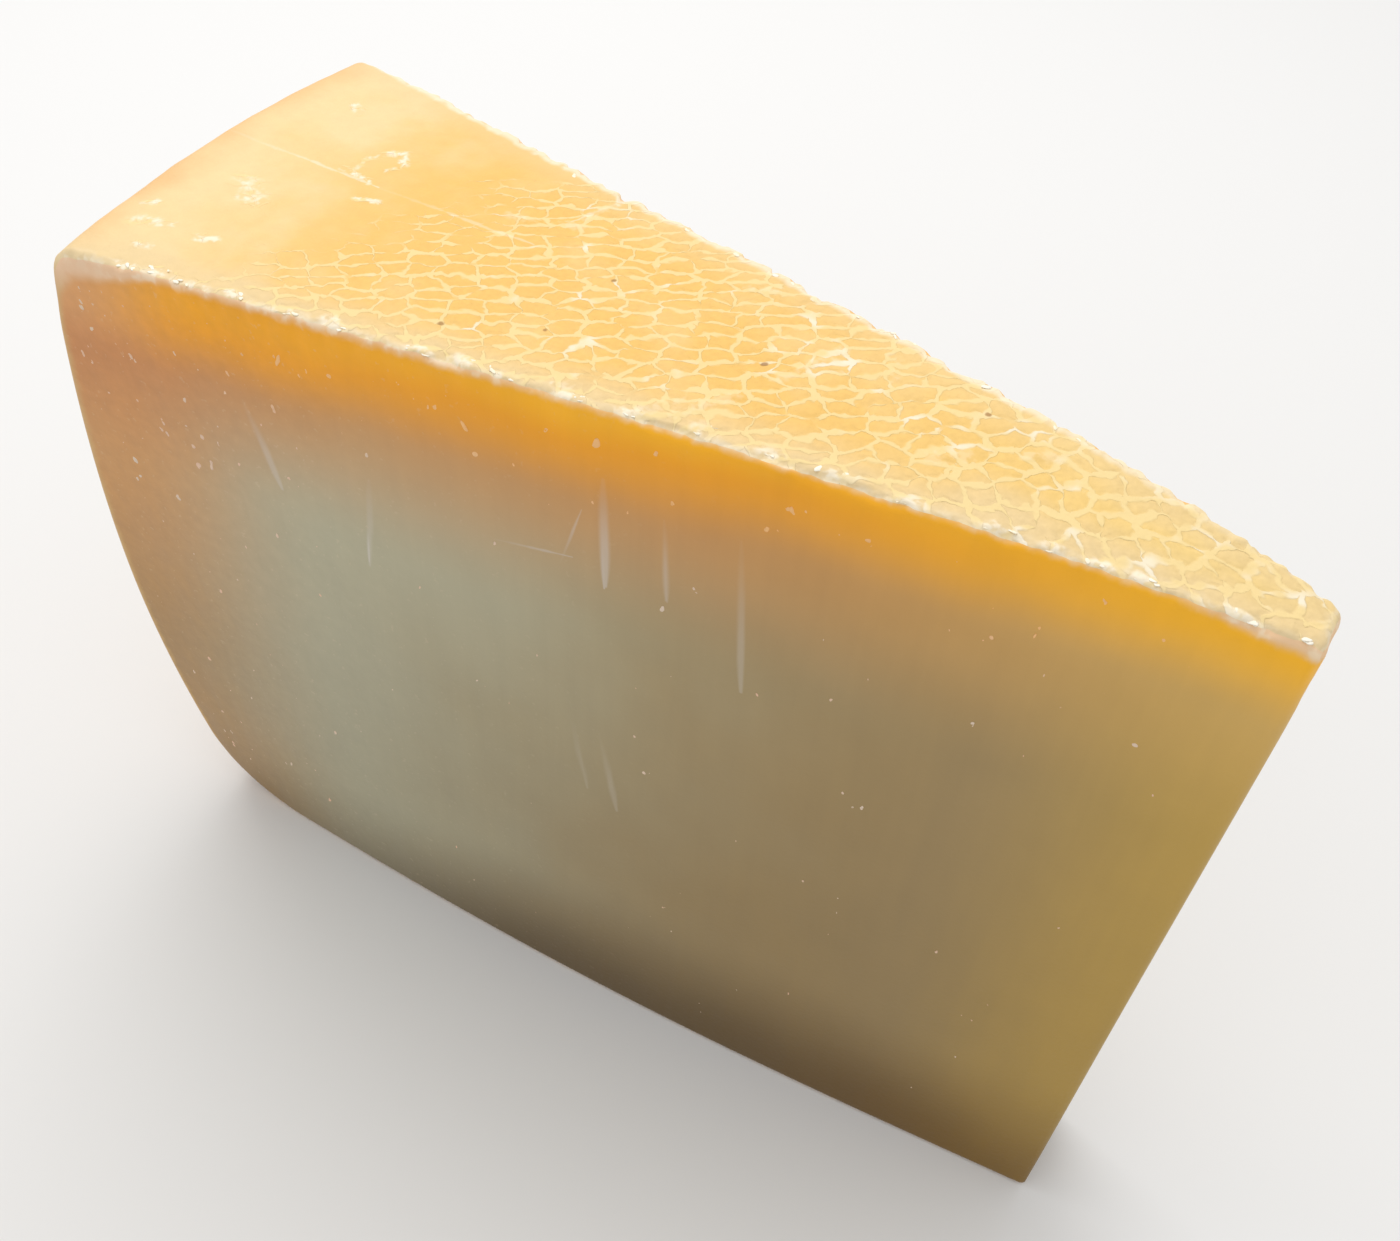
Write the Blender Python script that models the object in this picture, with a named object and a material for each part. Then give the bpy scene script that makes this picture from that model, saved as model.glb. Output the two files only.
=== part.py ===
"""A wedge of alpine cheese, cut from a small mountain wheel and lying with one rind face up.

Metres, +Z up. X runs along the wedge, from the bulging heel (-X) to the cut-off thin end (+X).
The two large cuts look towards -Y and +Y, and the lower rind lies flat on z = 0. The whole
wedge is one solid: a block of quads is bent into the wedge by wedge_point(), its edges are
rounded and chipped by worn(), and the rind's net of ridges is raised by net_relief().
"""

import math

import bmesh
import bpy
from mathutils import Matrix, Vector, noise

# The wheel that the wedge was cut from
HEIGHT = 0.100  # from the lower rind to the corners of the upper one
WHEEL_RADIUS = 0.1471  # at the near cut, level with the upper rind
RIM_GROWTH = 0.027  # the wheel is out of round by this share, over the width of the wedge
HEEL_BULGE = 0.0081  # how far the rim stands out at its widest
BULGE_LEVEL = 0.42  # where it is widest, as a share of the height
BULGE_BELOW = 0.65  # the share of the bulge that is lost again down at the base
NEAR_CROWN = 0.0016  # how far the upper rind rises between heel and tip, along the near cut
FAR_CROWN = 0.0025  # and along the far one, where it rises later

# The cuts
OPENING = math.radians(19.8)  # angle between the two large cuts
TIP_RADIUS = 0.0187  # the thin end was cut off this far from the wheel's centre
TIP_LEAN = 0.0017  # the thin end leans in by this much at the base
HEEL_TUCK = 0.0045  # the near cut runs in under the heel by this much at the base
TIP_FLARE = 0.0069  # and out again under the tip, because the knife turned on its way down
CUT_BOW = 0.0027  # the near cut swells at the base, halfway along
FAR_TUCK = 0.0020  # the far cut follows the same turn, more gently
FAR_FLARE = 0.0015
KNIFE_WAVE = 0.00012  # height of the faint waves that the knife left in the cuts

# Edges: how far the rounding of each reaches in from the faces that meet there
CUT_EDGE = 0.0010  # all edges of a cut, where nothing else is said
RIM_EDGE = 0.0032  # between the heel and the upper rind
HEEL_BASE_EDGE = 0.0066  # between the heel and the lower rind
CRUST_EDGE = 0.0012  # between a cut and the upper rind, where it is whole
CRUST_CHIP = 0.0032  # and where crumbs have broken away
CHIP_LENGTH = 0.006
CHIP_RANGE = (0.48, 0.80)  # the share of the noise over which whole crust turns into a chip
EDGE_BLEND = 0.012  # over this length one rounding turns into the next

# The net of ridges on the upper rind
NET_HEIGHT = 0.00035
NET_FINE = 0.0042  # size of the small, drawn-out meshes in the middle
NET_COARSE = 0.0062  # size of the round meshes towards the tip
NET_DRAW = 1.9  # the small meshes are this many times longer than wide
NET_TURN = math.radians(33)  # and lie at this angle to X
NET_BEND = 0.35  # the ridges waver by this share of a mesh
NET_BEND_X = Vector((0, 0, 5))  # where the noise is read for the wavering along the net
NET_BEND_Y = Vector((0, 0, 9))  # and across it
SMOOTH_HEEL = 0.036  # length of the heel end, where the net fades out

# The block of quads: how many times it is cut along, across and up
CUTS_ALONG = 88
CUTS_ACROSS = 21
CUTS_UP = 13
CROWDING = 0.55  # how far the cuts crowd towards the edges, from 0 to 1

PASTE_COLOUR = (0.50, 0.36, 0.14, 1.0)
PASTE_ROUGHNESS = 0.45

LENGTH = (WHEEL_RADIUS - TIP_RADIUS) * math.cos(OPENING / 2)
NEAR_OUT = Vector((math.sin(OPENING / 2), -math.cos(OPENING / 2), 0))
FAR_OUT = Vector((math.sin(OPENING / 2), math.cos(OPENING / 2), 0))
UP = Vector((0, 0, 1))


def clear_scene():
    """Removes everything that the scene holds."""
    for obj in list(bpy.data.objects):
        bpy.data.objects.remove(obj, do_unlink=True)


def smoothstep(low, high, value):
    """0 below low, 1 above high, and an even slope between."""
    share = min(1, max(0, (value - low) / (high - low)))
    return share * share * (3 - 2 * share)


def crowded(share):
    """Moves a cut towards the nearer end of the block, so that edges get shorter quads."""
    return share - CROWDING * math.sin(2 * math.pi * share) / (2 * math.pi)


def heel_bulge(level):
    """How far the rim stands out at a level between 0, the base, and 1, the upper rind."""
    if level > BULGE_LEVEL:
        rise = (level - BULGE_LEVEL) / (1 - BULGE_LEVEL)
        return HEEL_BULGE * (1 - rise**1.8)
    fall = (BULGE_LEVEL - level) / BULGE_LEVEL
    return HEEL_BULGE * (1 - BULGE_BELOW * fall * fall)


def crown(along, across):
    """How far the upper rind rises, at these shares of the way along and across."""
    if not 0 < along < 1:
        return 0.0
    near = NEAR_CROWN * math.sin(math.pi * along**1.3) ** 0.6
    far = FAR_CROWN * math.sin(math.pi * along**2.2) ** 0.8
    return near + (far - near) * across


def wedge_point(along, across, level):
    """The place in the wedge, before wear, of a point in the unit block."""
    heel = WHEEL_RADIUS * (1 + RIM_GROWTH * across) + heel_bulge(level)
    tip = TIP_RADIUS + TIP_LEAN * (1 - level)
    radius = heel + (tip - heel) * along
    angle = OPENING * (across - 0.5)
    z = (HEIGHT + crown(along, across)) * level
    point = Vector((-radius * math.cos(angle), radius * math.sin(angle), z))
    under = 1 - level
    near_shift = TIP_FLARE * along - HEEL_TUCK * (1 - along)
    near_shift += CUT_BOW * math.sin(math.pi * along)
    far_shift = FAR_TUCK * (1 - along) - FAR_FLARE * along
    point += NEAR_OUT * near_shift * under * (1 - across)
    point += FAR_OUT * far_shift * under * across
    return point


def beside(distance, reach=EDGE_BLEND):
    """1 at a face, falling to 0 at this distance from it."""
    return 1 - smoothstep(0.0, reach, distance)


def crust_reach(point):
    """The rounding of a cut's upper edge: small where it is whole, larger where it crumbled."""
    rough = 0.5 + 0.5 * noise.fractal(point / CHIP_LENGTH, 1.0, 2.0, 3)
    return CRUST_EDGE + (CRUST_CHIP - CRUST_EDGE) * smoothstep(*CHIP_RANGE, rough)


def nearest_faces(point, along, across, level):
    """For each axis of the block: distance to the nearer face, its outward way, and reach."""
    width = 2 * math.tan(OPENING / 2) * abs(point.x)
    to_top = (1 - level) * HEIGHT
    to_base = level * HEIGHT
    crust = crust_reach(point)
    at_top, at_base, at_heel = beside(to_top), beside(to_base), beside(along * LENGTH)
    if along < 0.5:
        reach = CUT_EDGE + (RIM_EDGE - CUT_EDGE) * at_top + (HEEL_BASE_EDGE - CUT_EDGE) * at_base
        end = (along * LENGTH, Vector((point.x, point.y, 0)).normalized(), reach)
    else:
        end = ((1 - along) * LENGTH, Vector((1, 0, 0)), CUT_EDGE)
    side_reach = CUT_EDGE + (crust - CUT_EDGE) * at_top
    if across < 0.5:
        side = (across * width, NEAR_OUT, side_reach)
    else:
        side = ((1 - across) * width, FAR_OUT, side_reach)
    if level < 0.5:
        flat = (to_base, -UP, CUT_EDGE + (HEEL_BASE_EDGE - CUT_EDGE) * at_heel)
    else:
        flat = (to_top, UP, crust + (RIM_EDGE - crust) * at_heel)
    return end, side, flat


def worn(point, along, across, level):
    """The point, moved in where it lies on a rounded edge or corner."""
    faces = nearest_faces(point, along, across, level)
    insets = [max(0.0, 1 - distance / reach) for distance, _, reach in faces]
    length = math.sqrt(sum(inset * inset for inset in insets))
    moved = point.copy()
    for inset, (_, out, reach) in zip(insets, faces):
        moved -= out * reach * (inset - inset / length)
    return moved


def net(point, size, draw):
    """1 on the ridges of a net with meshes of this size, falling to 0 inside the meshes."""
    turned = Matrix.Rotation(-NET_TURN, 3, "Z") @ Vector((point.x, point.y, 0))
    flat = Vector((turned.x / draw, turned.y, 0)) / size
    bend = Vector((noise.noise(flat + NET_BEND_X), noise.noise(flat + NET_BEND_Y), 0))
    flat += NET_BEND * bend
    distances = noise.voronoi(flat)[0]
    return 1 - smoothstep(0.0, 0.30, distances[1] - distances[0])


def net_relief(point, along, level):
    """The height of the rind's net at a point on the upper rind, and 0 elsewhere."""
    if level < 1:
        return 0.0
    fine = net(point, NET_FINE, NET_DRAW)
    coarse = net(point, NET_COARSE, 1.0)
    towards_tip = smoothstep(0.45, 0.75, along)
    ridge = fine + (coarse - fine) * towards_tip
    faded = smoothstep(0.2, 1.0, along * LENGTH / SMOOTH_HEEL)
    swell = 0.6 * noise.noise(point / 0.011)
    return NET_HEIGHT * (ridge * (0.15 + 0.85 * faded) + swell)


def knife_relief(point, along, across, level):
    """The shift of a point on a large cut, from the waves that the knife left."""
    if 0 < across < 1:
        return Vector((0, 0, 0))
    inner = 1 - max(beside(min(along, 1 - along) * LENGTH), beside(min(level, 1 - level) * HEIGHT))
    wave = noise.noise(Vector((point.x / 0.012, 3.0 * across, point.z / 0.05)))
    out = NEAR_OUT if across == 0 else FAR_OUT
    return out * KNIFE_WAVE * wave * inner


def unit_block():
    """A block from 0 to 1 on each axis, cut into quads along, across and up."""
    block = bmesh.new()
    bmesh.ops.create_cube(block, size=1.0, matrix=Matrix.Translation((0.5, 0.5, 0.5)))
    for axis, cuts in enumerate((CUTS_ALONG, CUTS_ACROSS, CUTS_UP)):
        edges = [
            edge
            for edge in block.edges
            if abs(edge.verts[0].co[axis] - edge.verts[1].co[axis]) > 0.5
        ]
        bmesh.ops.subdivide_edges(block, edges=edges, cuts=cuts, use_grid_fill=True)
    return block


def wedge_mesh():
    """The wedge's closed mesh, in triangles, with its box centred on the origin."""
    block = unit_block()
    for vert in block.verts:
        along, across, level = (crowded(share) for share in vert.co)
        along, across, level = (round(share, 5) for share in (along, across, level))
        point = wedge_point(along, across, level)
        point = worn(point, along, across, level)
        point += UP * net_relief(point, along, level)
        point += knife_relief(point, along, across, level)
        vert.co = point
    flat = [face for face in block.faces if max(v.co.z for v in face.verts) < 1e-6]
    bmesh.ops.dissolve_faces(block, faces=flat, use_verts=False)
    bmesh.ops.triangulate(block, faces=block.faces)
    low, high = (pick(v.co.x for v in block.verts) for pick in (min, max))
    near, far = (pick(v.co.y for v in block.verts) for pick in (min, max))
    centre = Vector(((low + high) / 2, (near + far) / 2, 0))
    bmesh.ops.translate(block, verts=block.verts, vec=-centre)
    bmesh.ops.recalc_face_normals(block, faces=block.faces)
    mesh = bpy.data.meshes.new("cheese_wedge")
    block.to_mesh(mesh)
    block.free()
    return mesh


def paste_material():
    """Ripe cheese paste, a little glossy."""
    material = bpy.data.materials.new("cheese_paste")
    material.use_nodes = True
    shader = material.node_tree.nodes["Principled BSDF"]
    shader.inputs["Base Color"].default_value = PASTE_COLOUR
    shader.inputs["Roughness"].default_value = PASTE_ROUGHNESS
    shader.inputs["Metallic"].default_value = 0.0
    return material


def main():
    clear_scene()
    wedge = bpy.data.objects.new("cheese_wedge", wedge_mesh())
    wedge.data.materials.append(paste_material())
    wedge.data.shade_smooth()
    wedge.data.set_sharp_from_angle(angle=math.radians(35))
    bpy.context.scene.collection.objects.link(wedge)


main()
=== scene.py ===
# %% [markdown]
# # A wedge of alpine cheese
# The wedge was cut from a small mountain wheel and lies with one rind up. Its looks come from
# three things: the rind's net of pale veins between small pillows, the paste that ripens from
# a greyish core, partly a painted cool sheen, to an orange layer under the rind, and the crumbs
# that the knife left along the crust. The imported solid already has the true form and size,
# so it is loaded first.

# %% Load the imported solid
import math
import random

import bmesh
import bpy
from mathutils import Matrix, Quaternion, Vector, noise


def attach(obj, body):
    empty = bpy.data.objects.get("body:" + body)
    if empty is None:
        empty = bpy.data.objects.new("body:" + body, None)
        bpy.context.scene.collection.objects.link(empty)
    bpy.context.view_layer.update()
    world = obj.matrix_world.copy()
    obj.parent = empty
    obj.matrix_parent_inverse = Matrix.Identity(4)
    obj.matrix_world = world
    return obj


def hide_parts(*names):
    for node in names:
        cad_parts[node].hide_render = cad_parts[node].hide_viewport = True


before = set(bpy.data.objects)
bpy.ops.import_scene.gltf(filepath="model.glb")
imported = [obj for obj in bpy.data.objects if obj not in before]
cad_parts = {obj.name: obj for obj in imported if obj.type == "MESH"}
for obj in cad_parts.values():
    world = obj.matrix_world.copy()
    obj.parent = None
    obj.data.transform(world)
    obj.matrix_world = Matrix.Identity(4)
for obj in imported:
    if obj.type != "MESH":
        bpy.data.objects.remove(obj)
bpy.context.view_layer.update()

MM = 0.001

# %% [markdown]
# ## Camera
# A cheese on a board is seen from a standing person's eye: from the tip end, well above, with
# the large near cut and the whole upper rind in view. The camera is turned a few degrees
# about its own axis, as a hand-held one is, so the roll is added after the aim.

# %% Place the camera
CAMERA_PLACE = Vector((0.064775, -0.096751, 0.183922))
CAMERA_AIM = Vector((0.005432, 0.003943, 0.055))
CAMERA_ROLL = math.radians(3.584)
LENS = 36.292
FILM_WIDTH = 36.0
NEAREST_SEEN = 0.01


def added(name, data):
    """A new object in the scene, with this data."""
    obj = bpy.data.objects.new(name, data)
    bpy.context.scene.collection.objects.link(obj)
    return obj


def aimed(obj, place, aim, roll=0.0):
    """Puts a camera or a lamp here, aims it there and turns it about its own axis."""
    obj.location = place
    obj.rotation_mode = "QUATERNION"
    turn = (aim - place).to_track_quat("-Z", "Y")
    obj.rotation_quaternion = turn @ Quaternion((0, 0, 1), roll)


camera = added("camera", bpy.data.cameras.new("camera"))
camera.data.lens = LENS
camera.data.sensor_width = FILM_WIDTH
camera.data.clip_start = NEAREST_SEEN
aimed(camera, CAMERA_PLACE, CAMERA_AIM, CAMERA_ROLL)
bpy.context.scene.camera = camera
print("camera stands", round((CAMERA_PLACE - CAMERA_AIM).length / MM), "mm from its aim")

# %% [markdown]
# ## Light and floor
# Cheese looks best in soft light, which shows its colours and leaves no hard glints. A pale
# sky lights every side, and one large lamp above and a little behind makes the rind brighter
# than the cuts. The Standard view keeps the colours as they are mixed.

# %% Set the sky, the lamp and the floor
SKY_STRENGTH = 0.80
SKY_COLOUR = (1.0, 0.995, 0.985, 1.0)
LAMP_PLACE = Vector((-0.22, 0.20, 0.62))
LAMP_AIM = Vector((0, 0, 0.08))
LAMP_SIZE = 0.55
LAMP_POWER = 2.2
LAMP_COLOUR = (1.0, 0.985, 0.96)
FLOOR_RADIUS = 4.0
FLOOR_COLOUR = (0.80, 0.80, 0.80)

bpy.context.scene.view_settings.view_transform = "Standard"
sky = bpy.data.worlds.new("sky")
sky.use_nodes = True
background = sky.node_tree.nodes["Background"]
background.inputs["Color"].default_value = SKY_COLOUR
background.inputs["Strength"].default_value = SKY_STRENGTH
bpy.context.scene.world = sky

lamp = added("lamp", bpy.data.lights.new("lamp", "AREA"))
lamp.data.size = LAMP_SIZE
lamp.data.energy = LAMP_POWER
lamp.data.color = LAMP_COLOUR
aimed(lamp, LAMP_PLACE, LAMP_AIM)


def feed(socket, value):
    """Links a socket to another one, or sets it to a plain value or a colour."""
    if isinstance(value, bpy.types.NodeSocket):
        socket.id_data.links.new(value, socket)
    else:
        socket.default_value = (*value, 1.0) if socket.type == "RGBA" else value


def coat(material, **finish):
    """Feeds sockets of a material's shader. Their names have spaces for the underscores."""
    for name, value in finish.items():
        feed(material.node_tree.nodes["Principled BSDF"].inputs[name.replace("_", " ")], value)


def new_material(name, **finish):
    """A new material with this finish."""
    material = bpy.data.materials.new(name)
    material.use_nodes = True
    coat(material, **finish)
    return material


def finished(shape, name, *materials):
    """Turns a bmesh into an object in the scene, at the origin, and frees the bmesh."""
    mesh = bpy.data.meshes.new(name)
    shape.to_mesh(mesh)
    shape.free()
    for material in materials:
        mesh.materials.append(material)
    return added(name, mesh)


floor_finish = {"Base_Color": FLOOR_COLOUR, "Roughness": 0.9, "Specular_IOR_Level": 0.1}
disc = bmesh.new()
bmesh.ops.create_circle(disc, cap_ends=True, segments=96, radius=FLOOR_RADIUS)
floor = finished(disc, "floor", new_material("pale_floor", **floor_finish))
print("floor radius", FLOOR_RADIUS, "m, lamp", LAMP_POWER, "W")

# %% [markdown]
# ## The form of the wedge
# A wedge of a wheel is easiest to describe from the wheel: every point has an angle, a radius
# and a level. So the wedge starts as a unit block, and one function bends it: `along` runs
# from heel to tip, `across` from the near cut to the far one, and `level` from base to rind.
# The measures are those of the solid, so the dressed wedge keeps the solid's form.

# %% The wheel and the cuts, in metres
HEIGHT = 0.100
WHEEL_RADIUS = 0.1471
RIM_GROWTH = 0.027
HEEL_BULGE = 0.0081
BULGE_LEVEL = 0.42
BULGE_ABOVE = 1.8  # the power by which the rim turns in above its fullest level
BULGE_BELOW = 0.65  # the share of the bulge that is lost at the base
NEAR_CROWN = (0.0016, 1.3, 0.6)  # height, shift towards the tip, and flatness of the curve
FAR_CROWN = (0.0025, 2.2, 0.8)
OPENING = math.radians(19.8)
TIP_RADIUS = 0.0187
TIP_LEAN = 0.0017
HEEL_TUCK = 0.0045
TIP_FLARE = 0.0069
CUT_BOW = 0.0027
FAR_TUCK = 0.0020
FAR_FLARE = 0.0015
AXIS_PLACE = Vector((0.0880982, -0.0017174, 0.0))  # where the wheel's axis stands

LENGTH = (WHEEL_RADIUS - TIP_RADIUS) * math.cos(OPENING / 2)
NEAR_OUT = Vector((math.sin(OPENING / 2), -math.cos(OPENING / 2), 0))
FAR_OUT = Vector((math.sin(OPENING / 2), math.cos(OPENING / 2), 0))
UP = Vector((0, 0, 1))


def smoothstep(low, high, value):
    """0 below low, 1 above high, and an even slope between."""
    share = min(1, max(0, (value - low) / (high - low)))
    return share * share * (3 - 2 * share)


def heel_bulge(level):
    """How far the rim stands out at a level between 0, the base, and 1, the upper rind."""
    if level > BULGE_LEVEL:
        climb = (level - BULGE_LEVEL) / (1 - BULGE_LEVEL)
        return HEEL_BULGE * (1 - climb**BULGE_ABOVE)
    fall = (BULGE_LEVEL - level) / BULGE_LEVEL
    return HEEL_BULGE * (1 - BULGE_BELOW * fall * fall)


def crown(along, across):
    """How far the upper rind rises, at these shares of the way along and across."""
    if not 0 < along < 1:
        return 0.0
    near, far = (
        height * math.sin(math.pi * along**shift) ** flatness
        for height, shift, flatness in (NEAR_CROWN, FAR_CROWN)
    )
    return near + (far - near) * across


def width_at(radius):
    """The wedge's width from cut to cut at this distance from the wheel's axis."""
    return 2 * math.tan(OPENING / 2) * radius


def rind_width(along):
    """The rind's width from cut to cut, at this share of the way from heel to tip."""
    return width_at(TIP_RADIUS + (1 - along) * LENGTH)


def wedge_point(along, across, level):
    """The place, measured from the wheel's axis, of a point of the unit block."""
    heel = WHEEL_RADIUS * (1 + RIM_GROWTH * across) + heel_bulge(level)
    tip = TIP_RADIUS + TIP_LEAN * (1 - level)
    radius = heel + (tip - heel) * along
    angle = OPENING * (across - 0.5)
    z = (HEIGHT + crown(along, across)) * level
    point = Vector((-radius * math.cos(angle), radius * math.sin(angle), z))
    under = 1 - level
    near_shift = TIP_FLARE * along - HEEL_TUCK * (1 - along)
    near_shift += CUT_BOW * math.sin(math.pi * along)
    far_shift = FAR_TUCK * (1 - along) - FAR_FLARE * along
    point += NEAR_OUT * near_shift * under * (1 - across)
    point += FAR_OUT * far_shift * under * across
    return point


print("wedge runs", round(LENGTH / MM, 1), "mm along and stands", HEIGHT / MM, "mm high")

# %% [markdown]
# ## Worn edges
# No edge of a cheese is sharp. The heel was pressed round in its mould, and the crust breaks
# into crumbs where the knife went through. A Bevel would give all edges one radius, so each
# point near an edge is moved in instead, by the shares by which it reaches into the rounding
# of up to three faces. That keeps corners smooth and lets the crust chip where noise says so.

# %% Round and chip the edges
CUT_EDGE = 0.0010
RIM_EDGE = 0.0032
HEEL_BASE_EDGE = 0.0066
FAR_HEEL_EDGE = 0.0022
CRUST_EDGE = 0.0008
CRUST_CHIP = 0.0018
TIP_ROUND = 0.0008
CHIP_LENGTH = 0.006
CHIP_RANGE = (0.48, 0.80)  # of the noise, from whole crust to broken crust
EDGE_BLEND = 0.012
SCALLOP_LENGTH = 0.0034
SCALLOP_DEPTH = (0.00025, 0.00055)  # on the near cut and on the far one
SCALLOP_REACH = 0.0045
SCALLOP_FINER = 2.3  # a second wave is this much shorter, and half as deep
SCALLOP_SLOPE = 3.2  # how steeply the gap between two scallops falls
WHOLE_RIM = 0.035  # from the heel, where the far edge is nearly whole
WHOLE_SHARE = 0.25  # how deep the far edge's scallops are at the heel, beside those at the tip
NOTCH_PLACE = -0.0138  # along the frame, on the far edge
NOTCH_DEPTH = 0.0010
NOTCH_REACH = 0.0013


def beside(distance, reach=EDGE_BLEND):
    """1 at a face, falling to 0 at this distance from it."""
    return 1 - smoothstep(0.0, reach, distance)


def crust_reach(point):
    """The rounding of a cut's upper edge: small where it is whole, larger where it crumbled."""
    rough = 0.5 + 0.5 * noise.fractal(point / CHIP_LENGTH, 1.0, 2.0, 3)
    whole = CRUST_EDGE + TIP_ROUND * beside(abs(point.x) - TIP_RADIUS)
    return whole + (CRUST_CHIP - CRUST_EDGE) * smoothstep(*CHIP_RANGE, rough)


def nearest_faces(point, along, across, level):
    """For each axis of the block: distance to the nearer face, its outward way, and reach."""
    width = width_at(abs(point.x))
    to_top = (1 - level) * HEIGHT
    to_base = level * HEIGHT
    crust = crust_reach(point)
    at_top, at_base, at_heel = beside(to_top), beside(to_base), beside(along * LENGTH)
    corner = (FAR_HEEL_EDGE - CUT_EDGE) * at_heel * beside((1 - across) * width)
    if along < 0.5:
        reach = CUT_EDGE + (RIM_EDGE - CUT_EDGE) * at_top + (HEEL_BASE_EDGE - CUT_EDGE) * at_base
        reach = max(reach, CUT_EDGE + corner)
        end = (along * LENGTH, Vector((point.x, point.y, 0)).normalized(), reach)
    else:
        end = ((1 - along) * LENGTH, Vector((1, 0, 0)), CUT_EDGE)
    side_reach = max(CUT_EDGE + (crust - CUT_EDGE) * at_top, CUT_EDGE + corner)
    to_side, out = (across, NEAR_OUT) if across < 0.5 else (1 - across, FAR_OUT)
    side = (to_side * width, out, side_reach)
    if level < 0.5:
        flat = (to_base, -UP, CUT_EDGE + (HEEL_BASE_EDGE - CUT_EDGE) * at_heel)
    else:
        flat = (to_top, UP, crust + (RIM_EDGE - crust) * at_heel)
    return end, side, flat


def scalloped(point, along, across, level):
    """The point, moved in where the crust broke off between two bumps of a cut's upper edge."""
    at_top = beside((1 - level) * HEIGHT, SCALLOP_REACH)
    if at_top == 0:
        return point
    width = width_at(abs(point.x))
    out, depth = (NEAR_OUT, SCALLOP_DEPTH[0]) if across < 0.5 else (FAR_OUT, SCALLOP_DEPTH[1])
    share = at_top * beside(min(across, 1 - across) * width, SCALLOP_REACH)
    if across > 0.5:
        broken = smoothstep(0.0, WHOLE_RIM, along * LENGTH)
        share *= WHOLE_SHARE + (1 - WHOLE_SHARE) * broken
    if share == 0:
        return point
    run, row = point.x / SCALLOP_LENGTH, 9.0 * out.y
    wave = noise.noise(Vector((run, row, 0.0)))
    wave += 0.5 * noise.noise(Vector((run * SCALLOP_FINER, row, 5.0)))
    gap = depth * (1 - min(1.0, SCALLOP_SLOPE * abs(wave)))
    if across > 0.5:
        gap += NOTCH_DEPTH * beside(abs(point.x + AXIS_PLACE.x - NOTCH_PLACE), NOTCH_REACH)
    return point - out * gap * share


def worn_point(along, across, level):
    """The place in the frame of a point of the unit block, on the worn wedge."""
    point = scalloped(wedge_point(along, across, level), along, across, level)
    faces = nearest_faces(point, along, across, level)
    insets = [max(0.0, 1 - distance / reach) for distance, _, reach in faces]
    length = math.sqrt(sum(inset * inset for inset in insets))
    for inset, (_, out, reach) in zip(insets, faces):
        point = point - out * reach * (inset - inset / length)
    return point + AXIS_PLACE


print("rim corner at", [round(c / MM, 1) for c in worn_point(0, 0, 1)], "mm")

# %% [markdown]
# ## The block and what it remembers
# The block is cut into quads along, across and up, closer together beside the edges, and the
# upper rind is cut once more, because its veins are finer than anything on the cuts. Before
# the points move, each is told where it lies: how deep it is below the rind, behind the heel
# and above the base, how far it is from the nearest cut, and where it lies on the rind when
# that is rolled out flat. The materials read these, so their layers follow the wedge.

# %% Cut and bend the block
CUTS = (180, 64, 62)
CROWDING = (0.35, 0.30, 0.78)


def crowded(share, amount):
    """Moves a cut towards the nearer end of the block, so that edges get shorter quads."""
    return share - amount * math.sin(2 * math.pi * share) / (2 * math.pi)


def unit_block():
    """A block from 0 to 1 on each axis, cut into quads, with smaller ones on top."""
    block = bmesh.new()
    bmesh.ops.create_cube(block, size=1.0, matrix=Matrix.Translation((0.5, 0.5, 0.5)))
    for axis, cuts in enumerate(CUTS):
        ends = ((edge, *(vert.co[axis] for vert in edge.verts)) for edge in block.edges)
        edges = [edge for edge, first, second in ends if abs(first - second) > 0.5]
        bmesh.ops.subdivide_edges(block, edges=edges, cuts=cuts, use_grid_fill=True)
    top = [edge for edge in block.edges if min(v.co.z for v in edge.verts) > 1 - 1e-6]
    bmesh.ops.subdivide_edges(block, edges=top, cuts=1, use_grid_fill=True)
    return block


def edge_distance(along, across, level):
    """Above 0 on the rind: how far the nearest cut is. Below 0 on a cut: how far the rind."""
    width = rind_width(along)
    to_cut = min(across * width, (1 - across) * width, (1 - along) * LENGTH)
    to_rind = min((1 - level) * HEIGHT, level * HEIGHT, along * LENGTH)
    return to_cut - to_rind


def rolled_out(along, level):
    """How far a point lies from the rim when the rind is rolled out: down the heel is below 0."""
    if level > 1 - 1e-6:
        return along * LENGTH
    if level < 1e-6:
        return -HEIGHT - along * LENGTH
    return along * LENGTH - (1 - level) * HEIGHT if along < 1e-6 else along * LENGTH


PASTE, RIND = range(2)  # the wedge's two materials
PASTE_GLOSS = 0.28
RIND_GLOSS = 0.35
# White mould in mm. Beside the near cut: how far from the heel, how far in, length and breadth.
EDGE_DUST = (
    (9.5, 0.5, 3.4, 1.3), (13.6, 0.9, 2.8, 1.6), (18.0, 0.6, 3.0, 1.2), (22.2, 0.8, 1.8, 1.3),
    (28.0, 0.5, 2.2, 1.1), (33.6, 1.0, 2.6, 2.0), (43.2, 0.6, 2.6, 1.2), (47.6, 1.0, 2.6, 1.7),
    (52.0, 0.5, 2.0, 1.2), (58.6, 0.5, 2.4, 1.1), (64.6, 0.7, 1.8, 1.1), (71.4, 1.6, 1.7, 1.8),
    (78.1, 1.4, 2.4, 1.9), (84.0, 1.1, 2.2, 1.5), (91.0, 0.5, 2.6, 1.1), (98.5, 0.8, 2.2, 1.4),
    (103.6, 0.7, 2.0, 1.3), (107.8, 0.6, 2.2, 1.2), (111.0, 0.7, 1.8, 1.3), (119.5, 0.6, 2.2, 1.1),
    (129.7, 0.6, 1.6, 1.0),
)
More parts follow.
